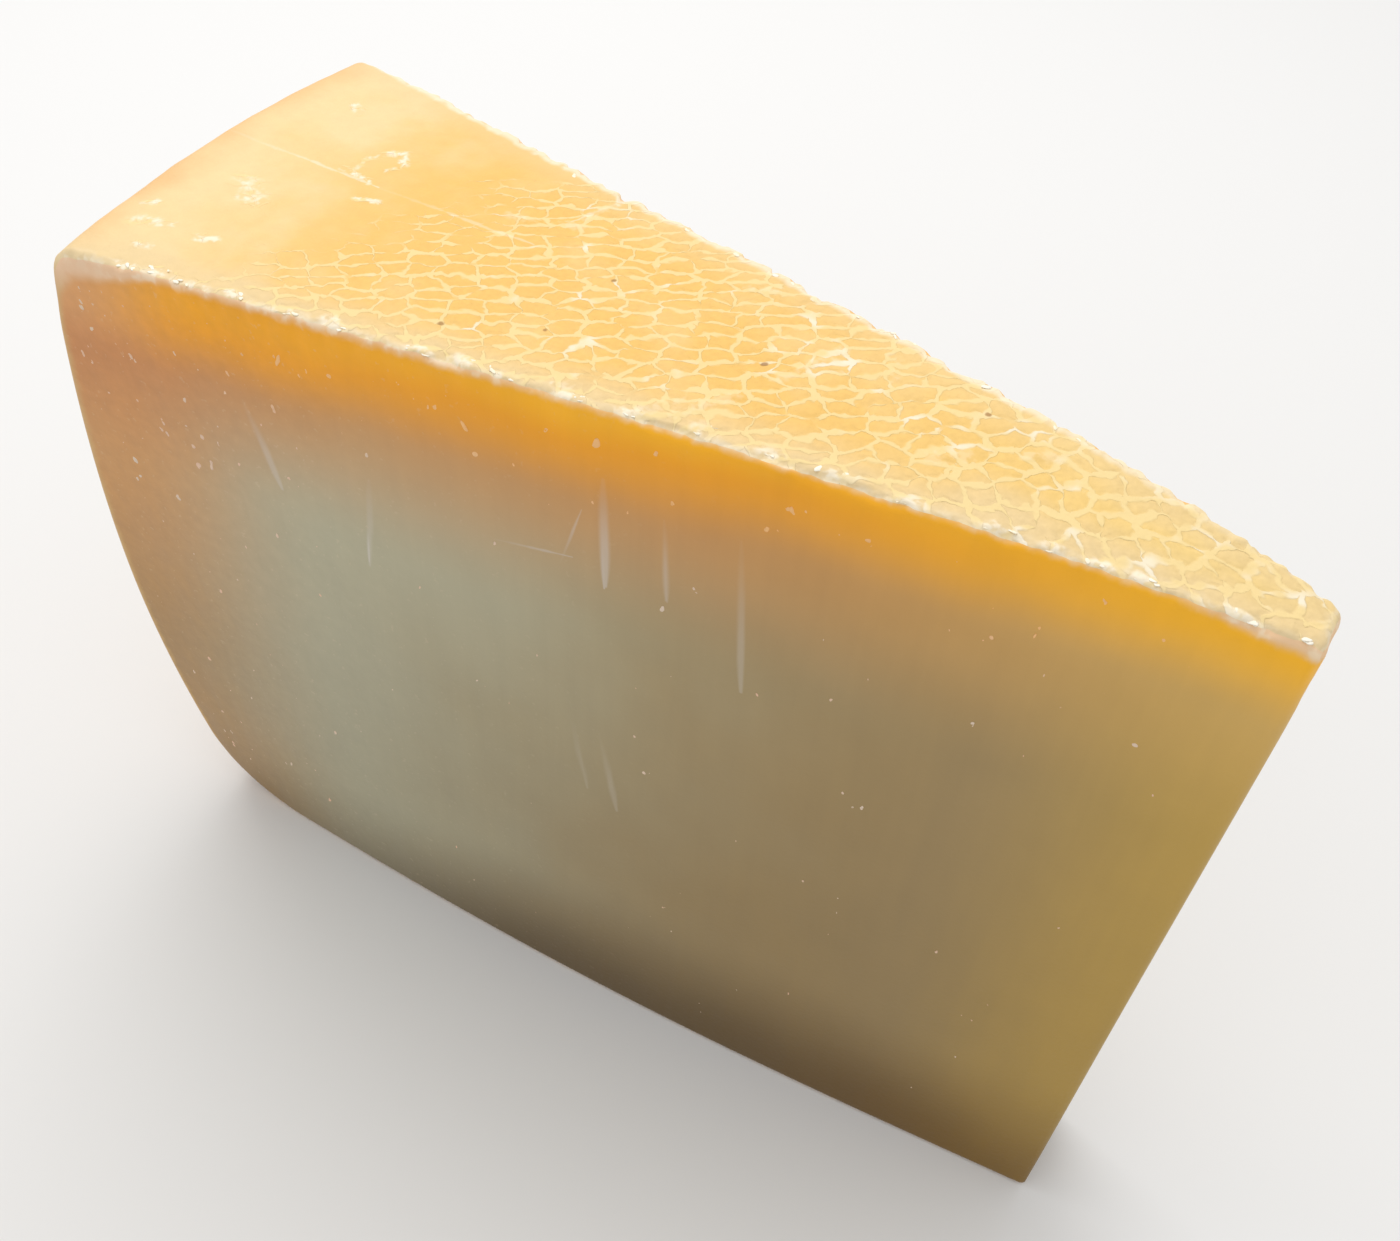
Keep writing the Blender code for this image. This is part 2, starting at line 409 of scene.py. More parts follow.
# Out on the rind, in the frame: a streak's start, its end, its radius and its strength.
RIND_DUST = (
    ((-42.8, 2.2), (-38.6, 1.6), 1.1, 0.85), ((-41.6, 2.9), (-42.2, 5.2), 0.9, 0.58),
    ((-42.2, 5.2), (-41.0, 7.6), 1.0, 0.62), ((-41.0, 7.6), (-39.2, 8.4), 1.2, 0.78),
    ((-39.2, 8.4), (-38.0, 6.6), 1.2, 0.85), ((-38.0, 6.6), (-38.6, 4.6), 0.9, 0.75),
    ((-51.4, 13.3), (-49.9, 12.7), 1.4, 0.75), ((-49.6, -5.8), (-45.4, -8.2), 3.2, 0.56),
    ((-47.4, -8.6), (-46.0, -8.2), 1.6, 0.70), ((-50.5, -17.4), (-49.1, -16.6), 1.1, 0.72),
    ((-45.4, -16.8), (-43.6, -16.2), 1.3, 0.82), ((-49.3, -21.4), (-47.9, -20.8), 1.2, 0.75),
    ((-55.0, -15.2), (-54.0, -14.4), 1.1, 0.80), ((-53.0, -18.0), (-51.0, -17.0), 2.2, 0.60),
    ((-37.4, -1.7), (-34.9, -0.9), 1.0, 0.85), ((-21.8, 5.1), (-18.4, 5.6), 1.3, 0.95),
    ((-15.9, 6.9), (-14.2, 7.5), 1.6, 0.85), ((-13.6, 13.2), (-14.8, 9.0), 1.2, 0.75),
    ((6.5, 7.5), (8.8, 8.7), 1.5, 0.90), ((-0.5, -15.4), (1.8, -14.4), 1.5, 0.80),
    ((8.4, -14.0), (10.4, -10.6), 1.5, 0.90), ((11.4, -12.6), (14.4, -7.4), 1.5, 0.90),
    ((16.2, -3.4), (19.4, 4.4), 1.4, 0.80), ((33.0, -4.4), (35.6, -2.6), 1.7, 0.85),
    ((40.2, 0.5), (42.3, 1.8), 1.7, 0.80), ((24.2, 5.6), (25.6, 2.9), 1.3, 0.70),
)
DUST_BAND = 3.0  # mm from the near cut, where its mould ends
DUST_FAR = 6.0  # mm, further from its ends than any streak of mould reaches


def dusting(point, along, across, level):
    """How thick the white mould lies on the rind: 1 in the middle of a patch, 0 beside it."""
    if level < 0.97:
        return 0.0
    from_heel, from_cut = along * LENGTH / MM, across * rind_width(along) / MM
    most = 0.0
    if from_cut < DUST_BAND:
        for middle, offset, length, reach in EDGE_DUST:
            off = math.hypot((from_heel - middle) / length, (from_cut - offset) / reach)
            most = max(most, 1 - off)
    for start, end, radius, strength in RIND_DUST:
        if not start[0] - DUST_FAR < point.x / MM < end[0] + DUST_FAR:
            continue
        run_x, run_y = end[0] - start[0], end[1] - start[1]
        x, y = point.x / MM - start[0], point.y / MM - start[1]
        share = min(1, max(0, (x * run_x + y * run_y) / (run_x**2 + run_y**2)))
        off = math.hypot(x - share * run_x, y - share * run_y)
        most = max(most, strength * (1 - off / radius))
    return most


def is_cut(face):
    """True for a face of the unit block that the knife made: near, far or at the tip."""
    middle = face.calc_center_median()
    return min(middle.y, 1 - middle.y, 1 - middle.x) < 1e-6


def wedge_mesh():
    """The wedge, bent and worn, as a bmesh whose points know where they lie."""
    block = unit_block()
    for face in block.faces:
        face.material_index = PASTE if is_cut(face) else RIND
    depths = block.verts.layers.float_vector.new("depths")
    rind_map = block.verts.layers.float_vector.new("rind_map")
    edge = block.verts.layers.float.new("edge")
    dust = block.verts.layers.float.new("dust")
    for vert in block.verts:
        along, across, level = (crowded(*pair) for pair in zip(vert.co, CROWDING))
        along, across, level = (round(share, 5) for share in (along, across, level))
        point = worn_point(along, across, level)
        vert[depths] = ((1 - level) * HEIGHT, along * LENGTH, level * HEIGHT)
        vert[rind_map] = (rolled_out(along, level), point.y, 0.0)
        vert[edge] = edge_distance(along, across, level)
        vert[dust] = dusting(point, along, across, level)
        vert.co = point
    flat = [face for face in block.faces if max(v.co.z for v in face.verts) < 1e-6]
    bmesh.ops.dissolve_faces(block, faces=flat, use_verts=False)
    bmesh.ops.triangulate(block, faces=[face for face in block.faces if len(face.verts) > 4])
    bmesh.ops.recalc_face_normals(block, faces=block.faces)
    return block


paste_material = new_material("paste", Specular_IOR_Level=PASTE_GLOSS)
rind_material = new_material("rind", Specular_IOR_Level=RIND_GLOSS)
cheese = finished(wedge_mesh(), "cheese", paste_material, rind_material)
cheese.data.shade_smooth()
print("wedge:", len(cheese.data.vertices), "points,", len(cheese.data.polygons), "faces")

# %% [markdown]
# ## Words for nodes
# The rind's net has to be the same in two places: as relief, which a Geometry Nodes modifier
# gives the mesh, and as colour, which the material gives it. Both kinds of tree know the same
# maths, noise and Voronoi nodes, so a few short helpers build them in either one. A socket
# knows its tree, so a helper puts its node into the tree of the sockets that it is given.

# %% Helpers that build nodes in any tree
SLICE_GAP = 37.7  # how far apart the slices of noise lie


def built(kind, *values, **traits):
    """A node of this kind, in the tree of the sockets that it is fed. The values go into its
    sockets in turn. A trait with a capital is one more socket, and any other is a setting."""
    fed = (*values, *traits.values())
    tree = next(value.id_data for value in fed if isinstance(value, bpy.types.NodeSocket))
    node = tree.nodes.new(kind)
    for name, value in traits.items():
        if name[0].isupper():
            feed(node.inputs[name], value)
        else:
            setattr(node, name, value)
    for socket, value in zip(node.inputs, values):
        feed(socket, value)
    return node


def calc(operation, *values):
    """A Math node, and its result."""
    return built("ShaderNodeMath", *values, operation=operation).outputs[0]


def times(first, *others):
    """Numbers, multiplied one after the other."""
    for other in others:
        first = calc("MULTIPLY", first, other)
    return first


def plus(first, *others):
    """Numbers, added one after the other."""
    for other in others:
        first = calc("ADD", first, other)
    return first


def vector(operation, *values):
    """A Vector Math node, and its result, which is a number for a length."""
    node = built("ShaderNodeVectorMath", *values, operation=operation)
    return node.outputs["Value" if operation in ("LENGTH", "DOT_PRODUCT") else "Vector"]


def scaled(value, factor):
    """A vector times a number."""
    return built("ShaderNodeVectorMath", value, operation="SCALE", Scale=factor).outputs[0]


def rise(value, low, high, start=0.0, end=1.0):
    """start below low, end above high, with a smooth slope between."""
    limits = (value, low, high, start, end)
    return built("ShaderNodeMapRange", *limits, interpolation_type="SMOOTHSTEP").outputs[0]


def falling(value, low, high, most=1.0):
    """Most below low, 0 above high."""
    return rise(value, low, high, most, 0.0)


def cloud(place, size, seed, detail=2.0):
    """Noise between 0 and 1 with clouds of this size, and another slice of it for each seed."""
    piece = vector("ADD", place, (0.0, 0.0, SLICE_GAP * seed))
    return built("ShaderNodeTexNoise", piece, Scale=1 / size, Detail=detail).outputs[0]


def swing(value, amount):
    """Noise between 0 and 1, turned into a swing about 0."""
    return times(calc("SUBTRACT", value, 0.5), amount)


def between(share, first, second):
    """A number between two others, by a share."""
    return built("ShaderNodeMix", share, A=first, B=second).outputs[0]


def mixed(share, first, second):
    """A colour between two others, by a share."""
    node = built("ShaderNodeMix", share, data_type="RGBA")
    feed(node.inputs[6], first)
    feed(node.inputs[7], second)
    return node.outputs[2]


def gathered(*numbers):
    """Three numbers as one vector."""
    return built("ShaderNodeCombineXYZ", *numbers).outputs[0]


def parts(value):
    """The three numbers of a vector."""
    return built("ShaderNodeSeparateXYZ", value).outputs


print("noise slices lie", SLICE_GAP, "mm apart")

# %% [markdown]
# ## The net on the rind
# The wheel dried on cloth, and its rind shrank into small pillows with pale veins between
# them: low and drawn out in the middle of the wedge, rounder towards the tip, and nearly gone
# beside the heel. A Voronoi pattern is such a net: a vein runs midway between the two nearest
# seeds, and its distance is worked out in millimetres, so that drawn-out pillows don't get
# thicker veins at their ends. What changes slowly, such as the pillows' size and the bend of the
# veins, is worked out once for each point of the mesh, and the fine lines for each spot.

# %% Lay out the pillows
NET_TURN = math.radians(33)
NET_MIDDLE = (95.0, 0.0, 0.0)  # mm from the rim, where pillows change from drawn out to round
DRAWN_PILLOW = (3.6, 1.85)  # mm long and wide, towards the heel
ROUND_PILLOW = (2.8, 2.5)  # and towards the tip
NET_BEND = 2.9
BEND_SIZE = 3.4
NET_ORDER = 0.66  # 0 would give even rows of pillows, 1 pillows of all sizes
CORNER_FILL = 0.30  # mm, by which veins are thicker where they meet
HALF_VEIN = (0.27, 0.38)  # mm, towards the heel and towards the tip
THINNED = 0.35  # the share that a vein loses where it runs straight across the net
TO_ROUND = (80.0, 110.0)  # mm from the rim, from where to where pillows grow rounder
NET_START = (22.0, 50.0)  # and from where to where the net comes up
START_SLANT = -0.55
START_WANDER = 44.0


def pillow_scale(to_round):
    """Turns millimetres into pillows, along and across the net."""
    drawn = [1 / side for side in DRAWN_PILLOW]
    even = [1 / side for side in ROUND_PILLOW]
    return gathered(*(between(to_round, *pair) for pair in zip(drawn, even)))


def net_cells(spot):
    """At a spot of the rolled-out rind in mm: its place in the net, the veins' width, the fade."""
    middle = vector("SUBTRACT", spot, NET_MIDDLE)
    turn = built("ShaderNodeVectorRotate", middle, rotation_type="Z_AXIS", Angle=-NET_TURN)
    bend = built("ShaderNodeTexNoise", spot, Scale=1 / BEND_SIZE, Detail=2.5, Roughness=0.75)
    shift = vector("SUBTRACT", bend.outputs["Color"], (0.5, 0.5, 0.5))
    flat = vector("ADD", turn.outputs[0], scaled(shift, NET_BEND))
    along, across, _ = parts(spot)
    to_round = rise(along, *TO_ROUND)
    cells = vector("MULTIPLY", flat, pillow_scale(to_round))
    cells = gathered(*parts(cells)[:2], to_round)
    wander = swing(cloud(spot, 12.0, 1), START_WANDER)
    shown = rise(plus(calc("MULTIPLY_ADD", across, START_SLANT, along), wander), *NET_START)
    present = rise(cloud(spot, 2.8, 2), 0.32, 0.50, 0.15, 1.0)
    width = times(between(to_round, *HALF_VEIN), 2.0)
    width = times(width, cloud(spot, 1.6, 3, 1.0), present, shown)
    return cells, plus(width, 0.004), shown


def net(cells, width, shown, wobble=0.0):
    """The net at a place in it: how much of a vein is there, and how high the pillow stands."""
    seeds, distances = [], []
    for feature in ("F1", "F2"):
        traits = {"feature": feature, "Scale": 1.0, "Randomness": NET_ORDER}
        node = built("ShaderNodeTexVoronoi", cells, voronoi_dimensions="2D", **traits)
        seeds.append(node.outputs["Position"])
        distances.append(node.outputs["Distance"])
    first, second = (times(distance, distance) for distance in distances)
    arm = vector("SUBTRACT", seeds[1], seeds[0])
    arm = vector("MULTIPLY", arm, pillow_scale(parts(cells)[2]))
    length = vector("LENGTH", arm)
    off = calc("DIVIDE", calc("SUBTRACT", second, first), times(length, 2.0))
    off = calc("SUBTRACT", off, rise(distances[0], 0.45, 0.85, 0.0, CORNER_FILL))
    off = plus(off, wobble)
    upright = calc("DIVIDE", calc("ABSOLUTE", parts(arm)[0]), length)
    width = times(width, calc("SUBTRACT", 1.0, times(upright, THINNED)))
    veins = rise(off, times(width, 0.5), times(width, 1.5), 1.0, 0.0)
    veins = times(veins, rise(width, 0.02, 0.11))
    return veins, times(rise(off, 0.0, 0.9), shown)


print("drawn pillows", DRAWN_PILLOW, "mm, round ones", ROUND_PILLOW, "mm")

# %% [markdown]
# ## Relief
# Seen along the rind, the pillows stand a tenth of a millimetre proud and the veins a little
# more, the rind swells and sinks, the crust is ragged where it broke, and the knife left faint
# waves in the cuts. The relief moves each point along its normal by that much. It is made real
# at once: the modifier's result becomes the wedge's own mesh, so nothing is left live on it.

# %% Raise the pillows and roughen the crust
PILLOW_HEIGHT = 0.11  # all of these in mm
PILLOW_SINK = 0.7  # the share of that height by which the rind about the pillows goes in
VEIN_HEIGHT = 0.07
DUST_HEIGHT = 0.14
SWELL_HEIGHT = 0.8
SWELL_SIZE = 11.0
CRUST_ROUGH = 0.28
CRUST_LUMP = 2.5
KNIFE_WAVE = 0.08
WAVE_SIZE = 9.0


def named(tree, name, kind="FLOAT"):
    """One of the mesh's attributes, in a Geometry Nodes tree."""
    node = tree.nodes.new("GeometryNodeInputNamedAttribute")
    node.data_type = kind
    node.inputs["Name"].default_value = name
    return node.outputs[0]


def note(geometry, name, value):
    """Writes a vector on every point, for the material to read, and hands the geometry on."""
    traits = {"data_type": "FLOAT_VECTOR", "Name": name, "Value": value}
    return built("GeometryNodeStoreNamedAttribute", geometry, **traits).outputs[0]


def relief_tree():
    """The Geometry Nodes tree that moves each point along its normal."""
    tree = bpy.data.node_groups.new("relief", "GeometryNodeTree")
    tree.interface.new_socket("Geometry", in_out="INPUT", socket_type="NodeSocketGeometry")
    tree.interface.new_socket("Geometry", in_out="OUTPUT", socket_type="NodeSocketGeometry")
    way_in = tree.nodes.new("NodeGroupInput")
    way_out = tree.nodes.new("NodeGroupOutput")
    spot = scaled(named(tree, "rind_map", "FLOAT_VECTOR"), 1 / MM)
    place = scaled(tree.nodes.new("GeometryNodeInputPosition").outputs[0], 1 / MM)
    edge = times(named(tree, "edge"), 1 / MM)
    below, inside, above = parts(scaled(named(tree, "depths", "FLOAT_VECTOR"), 1 / MM))
    cells, width, shown = net_cells(spot)
    veins, domes = net(cells, width, shown)
    height = plus(times(domes, PILLOW_HEIGHT), times(veins, VEIN_HEIGHT))
    height = calc("SUBTRACT", height, PILLOW_HEIGHT * PILLOW_SINK)
    height = times(height, rise(edge, 0.0, 0.6), rise(above, 1.0, 3.0))
    swell = calc("SUBTRACT", cloud(spot, SWELL_SIZE, 4), 0.5)
    height = plus(height, times(swell, rise(edge, 0.0, 3.0, 0.0, SWELL_HEIGHT)))
    dust = times(named(tree, "dust"), cloud(place, 1.2, 15, 1.5))
    height = plus(height, rise(dust, 0.15, 0.55, 0.0, DUST_HEIGHT))
    crust = times(falling(calc("ABSOLUTE", edge), 0.6, 2.4), falling(below, 2.0, 5.0))
    ragged = calc("SUBTRACT", cloud(place, CRUST_LUMP, 5, 1.5), 0.5)
    ragged = times(ragged, rise(inside, 120.0, 124.0, 1.0, 0.3), crust, 2 * CRUST_ROUGH)
    height = plus(height, ragged)
    streaks = vector("MULTIPLY", place, (1.0, 0.4, 0.10))
    wave = calc("SUBTRACT", cloud(streaks, WAVE_SIZE, 6, 1.0), 0.5)
    height = plus(height, times(wave, falling(edge, -8.0, -2.0, 2 * KNIFE_WAVE)))
    height = times(height, rise(above, 0.0, 2.0, 0.0, MM))
    noted = note(way_in.outputs[0], "net_cells", cells)
    noted = note(noted, "net_traits", gathered(width, shown, cloud(spot, 3.6, 14, 2.0)))
    slow = (cloud(place, 22.0, 8), cloud(spot, 9.0, 12, 3.0), cloud(place, 6.0, 10, 2.0))
    noted = note(noted, "clouds", gathered(*slow))
    normal = tree.nodes.new("GeometryNodeInputNormal").outputs[0]
    moved = built("GeometryNodeSetPosition", noted, Offset=scaled(normal, height))
    feed(way_out.inputs[0], moved.outputs[0])
    return tree


def apply_modifiers(obj):
    """Makes what the modifiers show the object's own mesh."""
    seen = obj.evaluated_get(bpy.context.evaluated_depsgraph_get())
    mesh = bpy.data.meshes.new_from_object(seen)
    obj.modifiers.clear()
    obj.data = mesh


relief = cheese.modifiers.new("relief", "NODES")
relief.node_group = relief_tree()
apply_modifiers(cheese)
cheese.data.shade_smooth()
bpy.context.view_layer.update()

# %% [markdown]
# ## Strokes
# Single marks tell one wedge from another: a long pale scratch over the rind, broken white
# veins, and the streaks and the crack that the knife left in the near cut. Each is a line
# with a start, an end and a width. They are one shader group, which gives the distance of a
# spot from such a line as a soft mask, and the materials set it as often as they need it.

# %% Make the stroke group
def group_tree(name, inputs, outputs):
    """An empty shader node group with these sockets: its tree, its way in and its way out."""
    tree = bpy.data.node_groups.new(name, "ShaderNodeTree")
    for way, sockets in (("INPUT", inputs), ("OUTPUT", outputs)):
        for title, kind in sockets:
            tree.interface.new_socket(title, in_out=way, socket_type="NodeSocket" + kind)
    return tree, tree.nodes.new("NodeGroupInput"), tree.nodes.new("NodeGroupOutput")


def placed(group, *values):
    """This group in the tree of the values, with the values in its sockets, and its outputs."""
    return built("ShaderNodeGroup", *values, node_tree=group).outputs


def stroke_group():
    """Mask of a line from Start to End: 1 on it, 0 beyond Half Width, and frayed by noise."""
    tree, way_in, way_out = group_tree(
        "stroke",
        zip(("Spot", "Start", "End", "Half Width", "Fray"), ["Vector"] * 3 + ["Float"] * 2),
        [("Mask", "Float")],
    )
    spot, start, end, half, fray = way_in.outputs[:5]
    line = vector("SUBTRACT", end, start)
    arm = vector("SUBTRACT", spot, start)
    span = vector("DOT_PRODUCT", line, line)
    share = rise(calc("DIVIDE", vector("DOT_PRODUCT", arm, line), span), 0.0, 1.0)
    share.node.interpolation_type = "LINEAR"
    off = vector("LENGTH", vector("SUBTRACT", arm, scaled(line, share)))
    end_share = calc("ABSOLUTE", calc("MULTIPLY_ADD", share, 2.0, -1.0))
    taper = times(calc("POWER", end_share, 3.0), 0.6)
    half = times(half, calc("SUBTRACT", 1.0, taper))
    off = plus(off, times(fray, half))
    mask = calc("SUBTRACT", 1.0, rise(off, times(half, 0.1), half))
    mask = times(mask, rise(share, 0.0, 0.7, 0.15, 1.0))
    feed(way_out.inputs["Mask"], mask)
    return tree


stroke_tree = stroke_group()


def strokes(spot, fray, lines):
    """All these lines as one mask. A line is its start, its end, its half width, its strength."""
    total = 0.0
    for start, end, half, strength in lines:
        mask = placed(stroke_tree, spot, (*start, 0.0), (*end, 0.0), half, fray)[0]
        total = calc("MAXIMUM", total, times(mask, strength))
    return total


# %% Where the strokes and spots lie, in mm
RIND_STROKES = (
    ((-59.5, 0.9), (-37.0, 1.4), 0.36, 0.55), ((-38.5, 1.4), (-16.0, 1.8), 0.34, 0.35),
    ((-13.4, 14.4), (-15.6, 7.6), 0.50, 0.6),
)
RIND_SPECKS = (
    (-18.9, 7.6), (-5.6, 1.4), (-6.1, -9.3), (14.1, -1.8), (34.9, 3.3), (-14.8, -14.3),
)
NEAR_CUT_STROKES = (
    ((5.8, 93.5), (6.3, 79.6), 0.70, 0.62), ((5.7, 90.0), (6.2, 79.2), 0.30, 0.70),
    ((12.2, 91.0), (13.0, 80.6), 0.70, 0.44), ((12.9, 84.0), (13.1, 80.4), 0.34, 0.30),
    ((20.0, 91.6), (21.9, 71.5), 0.60, 0.35), ((-21.2, 82.6), (-23.0, 69.0), 0.60, 0.35),
    ((-22.3, 76.0), (-23.0, 69.5), 0.32, 0.8), ((-35.9, 87.6), (-33.4, 76.0), 0.75, 0.45),
    ((6.0, 56.0), (8.6, 43.0), 0.70, 0.24), ((2.6, 56.0), (4.6, 45.0), 0.60, 0.18),
    ((-6.5, 80.5), (2.6, 82.0), 0.24, 0.5), ((1.2, 80.6), (3.6, 88.8), 0.24, 0.45),
)
SPECK_RADIUS = 0.36


def spots(spot, fray, places, radius):
    """All these round spots of one radius, as one mask."""
    nearest = 1000.0
    for place in places:
        arm = vector("SUBTRACT", spot, (*place, 0.0))
        nearest = calc("MINIMUM", nearest, vector("LENGTH", arm))
    nearest = plus(calc("DIVIDE", nearest, radius), fray)
    return rise(nearest, 0.3, 1.0, 1.0, 0.0)


print(len(RIND_STROKES), "strokes on the rind,", len(NEAR_CUT_STROKES), "on the near cut")

# %% [markdown]
# ## Measures for the materials
# Both materials start by reading what the points remember, in millimetres. From the signed
# distance to the edge they know how far the crust is. The slow clouds of noise, which move the
# borders between layers, are read too, because they were worked out once for each point.

# %% Read what the points remember
def read(tree, name):
    """One of the mesh's attributes, in a material."""
    node = tree.nodes.new("ShaderNodeAttribute")
    node.attribute_name = name
    return node.outputs


def place_in(tree):
    """The place of a spot, in mm, in a material."""
    return scaled(tree.nodes.new("ShaderNodeTexCoord").outputs["Object"], 1 / MM)


def measures(tree):
    """Place, depths and edge distance, in mm, and slow clouds, in a material."""
    depths = parts(scaled(read(tree, "depths")["Vector"], 1 / MM))
    edge = times(read(tree, "edge")["Fac"], 1 / MM)
    return place_in(tree), depths, edge, parts(read(tree, "clouds")["Vector"])


print("measures: place, depths, edge distance and clouds")

# %% [markdown]
# Both materials also share a grain: lumps as large as crumbs, fine grit, and the patches where
# the dry crust is white and crumbly. As one group, it lies the same way on rind and paste, so
# a white patch runs over the edge from one to the other.

# %% Make the grain group
def grain_group():
    """Lumps, grit and crumbly patches, each 0 to 1, from a place in mm and its mottling."""
    tree, way_in, way_out = group_tree(
        "grain",
        (("Place", "Vector"), ("Mottle", "Float")),
        (("Lumps", "Float"), ("Grit", "Float"), ("Crumbly", "Float")),
    )
    place, mottle = way_in.outputs[:2]
    lumps = cloud(place, 1.5, 15, 2.0)
    patches = between(0.4, lumps, mottle)
    feed(way_out.inputs["Lumps"], lumps)
    feed(way_out.inputs["Grit"], cloud(place, 0.62, 18, 1.5))
    feed(way_out.inputs["Crumbly"], rise(patches, 0.46, 0.56))
    return tree


grain_tree = grain_group()
print("grain group:", len(grain_tree.nodes), "nodes")

# %% [markdown]
# ## Paste
# Paste ripens from the rind inwards. Its core is greyish, partly its own colour and partly a
# painted cool sheen, warmer towards the thin end, and it turns tan behind the heel and dark
# brown above the base, partly a brown layer and partly painted shade. Under the upper rind it
# is deep orange, over a paler brown layer, and brightest just under the rind, partly a painted
# glow of light through the rind. The whole cut is also painted lighter near the upper rind and
# darker further down, as painted light and shade. Each layer is one mix, by the depth at which
# it fades, and noise moves that depth about.

# %% Mix the paste's colour
# The core's greyish colour: partly the paste's own, partly a painted cool sheen.
CORE_GREY_AND_PAINTED_SHEEN = (0.418, 0.390, 0.268)
CORE_WARM = (0.326, 0.227, 0.100)
HEEL_TAN = (0.560, 0.283, 0.098)
HEEL_LOW = (0.410, 0.236, 0.082)
TIP_PALE = (0.480, 0.304, 0.060)
# Dark brown above the base: partly a brown layer by the base rind, partly painted shade.
BASE_SHADE_LEFT = (0.108, 0.068, 0.026)
BASE_SHADE_RIGHT = (0.150, 0.074, 0.008)
BROWN_LAYER = (0.620, 0.290, 0.082)
BROWN_HEEL = (0.592, 0.240, 0.081)
BROWN_TIP = (0.660, 0.415, 0.120)
RIPE_ORANGE = (0.900, 0.366, 0.012)
# Brighter orange just under the rind: partly the ripe layer's own colour, partly a painted glow of
# light through the rind.
RIPE_ORANGE_AND_GLOW = (0.980, 0.470, 0.016)
RIPE_TIP = (0.970, 0.490, 0.018)
RIPE_HEEL = (0.720, 0.350, 0.130)
CORE_DRIFT = 30.0  # mm, by which noise moves a layer's border about
HEEL_DRIFT = 8.0
LAYER_DRIFT = 5.0
BASE_SHADE_DRIFT = 6.0
CORE_LEAN = 0.25  # mm further from the heel for each mm down
HEEL_LEAN = 0.08
LAYER_LEAN = 0.032  # mm by which the layers under the rind thin for each mm from the heel
LAYER_EXTRA = -1.5  # mm, which makes them thicker beside the heel
THIN_END = (70.0, 128.0)  # mm in from the heel, from where to where each of these fades
CORE_FADE = (38.0, 112.0)
TIP_FADE = (102.0, 127.0)
HEEL_FADE = (6.0, 37.0)
BROWN_HEEL_FADE = (4.0, 40.0)
GLOW_START = (22.0, 62.0)
RIPE_HEEL_FADE = (2.0, 18.0)
HEEL_LOW_FADE = (25.0, 70.0)  # mm below the upper rind
# Painted light and shade on the cut: lighter near the upper rind, darker further down, over these
# mm.
PAINTED_LIGHT_FADE = (12.0, 75.0)
BROWN_FADE = (5.0, 30.0)
RIPE_FADE = (3.4, 12.5)
GLOW_FADE = (1.0, 5.0)
# The darkening above the base is partly a brown layer and partly painted shade.
BASE_SHADE_FADE = (2.0, 27.0)  # mm above the base

tree = paste_material.node_tree
place, (below, inside, above), edge, (drift, _, mottle) = measures(tree)
along_x, along_y, along_z = parts(place)
to_tip = rise(inside, *THIN_END)
lean = plus(inside, swing(drift, CORE_DRIFT), times(below, CORE_LEAN))
# The greyish core, warmer towards the tip, is partly the paste's own colour and partly a painted
# cool sheen.
paste = mixed(rise(lean, *CORE_FADE), CORE_GREY_AND_PAINTED_SHEEN, CORE_WARM)
paste = mixed(times(rise(inside, *TIP_FADE), 0.85), paste, TIP_PALE)
tan = mixed(rise(below, *HEEL_LOW_FADE), HEEL_TAN, HEEL_LOW)
heel_depth = plus(inside, swing(drift, HEEL_DRIFT), times(below, HEEL_LEAN))
paste = mixed(falling(heel_depth, *HEEL_FADE), paste, tan)
# Painted light and shade: the cut's colour is brightened near the upper rind and darkened further
# down.
paste = scaled(paste, rise(below, *PAINTED_LIGHT_FADE, 1.12, 0.93))
thinner = calc("MULTIPLY_ADD", inside, LAYER_LEAN, LAYER_EXTRA)
layer = plus(below, swing(drift, LAYER_DRIFT), thinner)
brown = mixed(falling(inside, *BROWN_HEEL_FADE), BROWN_LAYER, BROWN_HEEL)
brown = mixed(to_tip, brown, BROWN_TIP)
paste = mixed(times(falling(layer, *BROWN_FADE), 0.97), paste, brown)
# Painted glow with the ripe colour: brightest 1 to 5 mm under the rind, weaker beside the heel.
glow_share = times(falling(layer, *GLOW_FADE), rise(inside, *GLOW_START, 0.3, 1.0))
ripe = mixed(glow_share, RIPE_ORANGE, RIPE_ORANGE_AND_GLOW)
ripe = mixed(falling(inside, *RIPE_HEEL_FADE), ripe, RIPE_HEEL)
ripe = mixed(to_tip, ripe, RIPE_TIP)
paste = mixed(falling(layer, *RIPE_FADE), paste, ripe)
# Darker towards the base: partly a brown layer by the base rind, partly painted shade, weaker
# beside the heel.
base_shade_depth = plus(above, swing(drift, BASE_SHADE_DRIFT), falling(inside, 25.0, 70.0, 7.0))
base_shade_share = times(falling(base_shade_depth, *BASE_SHADE_FADE), rise(inside, 5.0, 60.0, 0.45, 0.90))
base_shade_share = times(base_shade_share, rise(inside, 100.0, 128.0, 1.0, 0.85))
paste = mixed(base_shade_share, paste, mixed(to_tip, BASE_SHADE_LEFT, BASE_SHADE_RIGHT))
print("paste: core, tip, heel, ripe layer and base layer mixed")

# %% [markdown]
# The cut is never one even colour. The knife drew the soft paste down in faint upright
# streaks, tiny pale grains sit in it, and it is mottled by moisture. Each changes the colour
# a little, and all of them together keep the large face alive.

# %% Add streaks, mottling and grains to the paste
GRAIN_PALE = (0.75, 0.60, 0.42)
STROKE_PALE = (0.66, 0.61, 0.56)
STREAK_FORM = (1.0, 1.0, 0.05)  # draws clouds out upwards, to twenty times their width
STREAK_SIZE = 1.8

